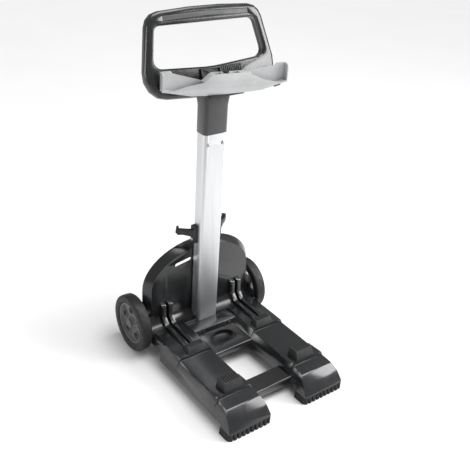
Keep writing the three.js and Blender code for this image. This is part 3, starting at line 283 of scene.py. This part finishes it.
def brushed_mast(look):
    """Extruded tube, drawn along its length and anodised."""
    finish = Finish("anodised aluminium", look.mast_colour, 0.33, 1.0)
    finish.mottle(finish.noise(3, 3, (1.0, 1.0, 0.4)), 0.05)
    finish.rough(finish.noise(1.0, 6, (900.0, 900.0, 3.0)), 0.40, 0.54)
    finish.bump(finish.noise(1.0, 4, (1500.0, 1500.0, 6.0)), 0.00002)
    finish.shader.inputs["Anisotropic"].default_value = 0.2
    return finish.material


def zinc_steel(_look):
    finish = Finish("zinc plated steel", (0.42, 0.43, 0.44), 0.3, 1.0)
    finish.mottle(finish.noise(90, 4), 0.12, (1.0, 0.99, 0.96))
    finish.rough(finish.noise(140, 4), 0.22, 0.42)
    finish.bump(finish.noise(800, 3), 0.00002)
    return finish.material


def black_nylon(look):
    finish = Finish("black nylon", (0.009, 0.009, 0.0095), 0.45)
    finish.mottle(finish.noise(40, 4), 0.2)
    finish.rough(finish.noise(60, 4), 0.36, 0.52)
    finish.bump(finish.noise(900, 3), look.grain)
    return finish.material


def dress(piece, material):
    """Gives a piece one finish all over."""
    piece.data.materials.clear()
    piece.data.materials.append(material)


# ---------------------------------------------------------------- shapes
def body_of_node(node):
    bodies = frame["record"]["behaviour"]["bodies"]
    return next(body for body, names in bodies.items() if node in names)


def crease(edge):
    return edge.is_manifold and edge.calc_face_angle(0) > CREASE_ANGLE


def softened(node, material, radius):
    """A node's own shape with its flat faces made whole and its sharp edges rounded."""
    shape = bmesh.new()
    shape.from_mesh(NODES[node].data)
    bmesh.ops.remove_doubles(shape, verts=shape.verts, dist=SAME_POINT)
    bmesh.ops.dissolve_limit(
        shape,
        angle_limit=FLAT_ANGLE,
        use_dissolve_boundaries=False,
        verts=shape.verts,
        edges=shape.edges,
    )
    edges = [edge for edge in shape.edges if crease(edge)]
    if radius:
        bmesh.ops.bevel(
            shape,
            geom=edges,
            offset=radius,
            offset_type="OFFSET",
            segments=EDGE_SEGMENTS,
            profile=0.5,
            affect="EDGES",
            clamp_overlap=True,
        )
    mesh = bpy.data.meshes.new(f"{node}_finished")
    shape.to_mesh(mesh)
    shape.free()
    as_piece(mesh, node, material)


def as_piece(mesh, node, material):
    """Makes mesh a smooth shaded piece that stands for a node and rides on its body."""
    for face in mesh.polygons:
        face.use_smooth = True
    mesh.set_sharp_from_angle(angle=SMOOTH_ANGLE)
    piece = bpy.data.objects.new(mesh.name, mesh)
    bpy.context.scene.collection.objects.link(piece)
    dress(piece, material)
    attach(piece, body_of_node(node))
    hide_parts(node)


# ---------------------------------------------------------------- operators
class CaddyOperator(bpy.types.Operator):
    """Shared options of the caddy's operators"""

    bl_options = {"REGISTER", "UNDO"}


class CADDY_OT_base(CaddyOperator):
    """Finish the moulded base with its forks, crossbar and tray"""

    bl_idname = "caddy.base"
    bl_label = "Base moulding"

    def execute(self, context):
        look = context.scene.caddy_finish
        softened("base_moulding", moulded_base(look), look.moulding_edge)
        return {"FINISHED"}


class CADDY_OT_feet(CaddyOperator):
    """Finish the rubber feet and the ribbed pads"""

    bl_idname = "caddy.feet"
    bl_label = "Feet and pads"

    def execute(self, context):
        look = context.scene.caddy_finish
        rubber, pad = foot_rubber(look), ribbed_pad(look)
        for side in SIDES:
            softened(f"{side}_rubber_foot", rubber, look.fine_edge)
            softened(f"{side}_front_pad", pad, look.fine_edge)
            softened(f"{side}_rear_pad", pad, look.fine_edge)
        return {"FINISHED"}


class CADDY_OT_shield(CaddyOperator):
    """Finish the back shield with its rails and carry slot"""

    bl_idname = "caddy.shield"
    bl_label = "Back shield"

    def execute(self, context):
        look = context.scene.caddy_finish
        softened("back_shield", moulded_base(look), look.moulding_edge)
        return {"FINISHED"}


class CADDY_OT_mast(CaddyOperator):
    """Finish the mast and its cable hooks"""

    bl_idname = "caddy.mast"
    bl_label = "Mast and cable hooks"

    def execute(self, context):
        look = context.scene.caddy_finish
        nylon = black_nylon(look)
        softened("mast_tube", brushed_mast(look), look.fine_edge)
        for side in SIDES:
            softened(f"{side}_cable_hook", nylon, look.fine_edge)
        dress(NODES["neck_plug"], nylon)
        return {"FINISHED"}


class CADDY_OT_handle(CaddyOperator):
    """Finish the loop handle, its grip inlay, cord clip and neck collar"""

    bl_idname = "caddy.handle"
    bl_label = "Loop handle"

    def execute(self, context):
        look = context.scene.caddy_finish
        shell = moulded_handle(look)
        for node in ("handle_front_half", "handle_rear_half", "neck_collar"):
            softened(node, shell, look.fine_edge)
        softened("grip_inlay", soft_grip(look), look.fine_edge)
        softened("cord_clip", black_nylon(look), look.fine_edge)
        return {"FINISHED"}


class CADDY_OT_holder(CaddyOperator):
    """Finish the turning holder for the control unit and its bracket"""

    bl_idname = "caddy.holder"
    bl_label = "Control unit holder"

    def execute(self, context):
        look = context.scene.caddy_finish
        nylon, rubber = black_nylon(look), foot_rubber(look)
        softened("control_unit_holder", moulded_holder(look), look.fine_edge)
        softened("holder_bracket", nylon, look.fine_edge)
        softened("holder_cap", nylon, look.fine_edge)
        for side in SIDES:
            softened(f"{side}_holder_buffer", rubber, look.fine_edge)
        return {"FINISHED"}


class CADDY_OT_wheels(CaddyOperator):
    """Finish the tyres, rims, hub caps and axle"""

    bl_idname = "caddy.wheels"
    bl_label = "Wheels and axle"

    def execute(self, context):
        look = context.scene.caddy_finish
        tyre, hub = tyre_rubber(look), moulded_hub(look)
        nylon, steel = black_nylon(look), zinc_steel(look)
        for side in SIDES:
            softened(f"{side}_tyre", tyre, look.fine_edge)
            softened(f"{side}_wheel_rim", hub, look.fine_edge)
            softened(f"{side}_hub_cap", hub, look.fine_edge)
            dress(NODES[f"{side}_wheel_bush"], nylon)
            dress(NODES[f"{side}_axle_washer"], steel)
            dress(NODES[f"{side}_axle_clip"], steel)
        dress(NODES["axle"], steel)
        return {"FINISHED"}


class CADDY_OT_screws(CaddyOperator):
    """Finish every screw"""

    bl_idname = "caddy.screws"
    bl_label = "Screws"

    def execute(self, context):
        steel = zinc_steel(context.scene.caddy_finish)
        for name, node in NODES.items():
            if "screw" in name:
                dress(node, steel)
        return {"FINISHED"}


def add_light(name, power, place, target, size):
    data = bpy.data.lights.new(name, "AREA")
    data.shape = "RECTANGLE"
    data.size, data.size_y = size
    data.energy = power
    lamp = bpy.data.objects.new(name, data)
    lamp.location = place
    lamp.rotation_euler = (Vector(target) - Vector(place)).to_track_quat("-Z", "Y").to_euler()
    bpy.context.scene.collection.objects.link(lamp)


class CADDY_OT_studio(CaddyOperator):
    """Set the pale floor, the soft light and the camera"""

    bl_idname = "caddy.studio"
    bl_label = "Studio"

    def execute(self, context):
        studio = context.scene.caddy_studio
        self.lay_floor(studio)
        self.light_room(context.scene, studio)
        self.place_camera(context.scene, studio)
        return {"FINISHED"}

    def lay_floor(self, studio):
        shape = bmesh.new()
        bmesh.ops.create_circle(shape, cap_ends=True, segments=96, radius=FLOOR_RADIUS)
        mesh = bpy.data.meshes.new("studio_floor")
        shape.to_mesh(mesh)
        shape.free()
        floor = bpy.data.objects.new("studio_floor", mesh)
        floor.location.z = CAD_BOX[0].z - FLOOR_GAP
        bpy.context.scene.collection.objects.link(floor)
        finish = Finish("pale floor", studio.floor_colour, 0.6)
        finish.mottle(finish.noise(2, 2), 0.01)
        finish.rough(finish.noise(30, 3), 0.55, 0.7)
        dress(floor, finish.material)

    def light_room(self, scene, studio):
        scene.world = scene.world or bpy.data.worlds.new("studio")
        scene.world.use_nodes = True
        sky = scene.world.node_tree.nodes["Background"]
        sky.inputs["Color"].default_value = (1, 1, 1, 1)
        sky.inputs["Strength"].default_value = studio.room_light
        scene.view_settings.view_transform = "Standard"
        add_light("soft_box", studio.key_power, **SOFT_BOX)
        add_light("strip_box", studio.key_power * STRIP_SHARE, **STRIP_BOX)
        data = bpy.data.lights.new("ceiling_light", "SUN")
        data.energy = studio.ceiling
        data.angle = CEILING_SPREAD
        lamp = bpy.data.objects.new("ceiling_light", data)
        lamp.rotation_euler = Vector(CEILING_FROM).to_track_quat("Z", "Y").to_euler()
        scene.collection.objects.link(lamp)

    def place_camera(self, scene, studio):
        azimuth, elevation, roll = map(math.radians, CAMERA_TURN)
        forward = Vector(
            (
                -math.sin(azimuth) * math.cos(elevation),
                math.cos(azimuth) * math.cos(elevation),
                -math.sin(elevation),
            )
        )
        level = forward.cross(Vector((0, 0, 1))).normalized()
        upright = level.cross(forward)
        right = level * math.cos(roll) + upright * math.sin(roll)
        up = upright * math.cos(roll) - level * math.sin(roll)
        data = bpy.data.cameras.new("studio_camera")
        data.lens = studio.lens
        data.sensor_width = 36
        data.clip_start, data.clip_end = 0.05, 100
        camera = bpy.data.objects.new("studio_camera", data)
        turn = Matrix((right, up, -forward)).transposed().to_4x4()
        camera.matrix_world = Matrix.Translation(CAMERA_PLACE) @ turn
        scene.collection.objects.link(camera)
        scene.camera = camera


class CADDY_PT_panel(bpy.types.Panel):
    """Lists the caddy's pieces and settings"""

    bl_idname = "CADDY_PT_panel"
    bl_label = "Pool Cleaner Caddy"
    bl_space_type = "VIEW_3D"
    bl_region_type = "UI"
    bl_category = "Caddy"

    def draw(self, context):
        layout = self.layout
        for settings in (context.scene.caddy_finish, context.scene.caddy_studio):
            box = layout.box()
            for name in settings.__annotations__:
                box.prop(settings, name)
        for operator in OPERATORS:
            layout.operator(operator.bl_idname)


SETTINGS = (CaddyFinish, CaddyStudio)
OPERATORS = (
    CADDY_OT_base,
    CADDY_OT_feet,
    CADDY_OT_shield,
    CADDY_OT_mast,
    CADDY_OT_handle,
    CADDY_OT_holder,
    CADDY_OT_wheels,
    CADDY_OT_screws,
    CADDY_OT_studio,
)


def register():
    for cls in (*SETTINGS, *OPERATORS, CADDY_PT_panel):
        bpy.utils.register_class(cls)
    bpy.types.Scene.caddy_finish = PointerProperty(type=CaddyFinish)
    bpy.types.Scene.caddy_studio = PointerProperty(type=CaddyStudio)


def unregister():
    del bpy.types.Scene.caddy_studio
    del bpy.types.Scene.caddy_finish
    for cls in reversed((*SETTINGS, *OPERATORS, CADDY_PT_panel)):
        bpy.utils.unregister_class(cls)


def main():
    register()
    bpy.ops.caddy.base()
    bpy.ops.caddy.feet()
    bpy.ops.caddy.shield()
    bpy.ops.caddy.mast()
    bpy.ops.caddy.handle()
    bpy.ops.caddy.holder()
    bpy.ops.caddy.wheels()
    bpy.ops.caddy.screws()
    bpy.ops.caddy.studio()


if __name__ == "__main__":
    main()
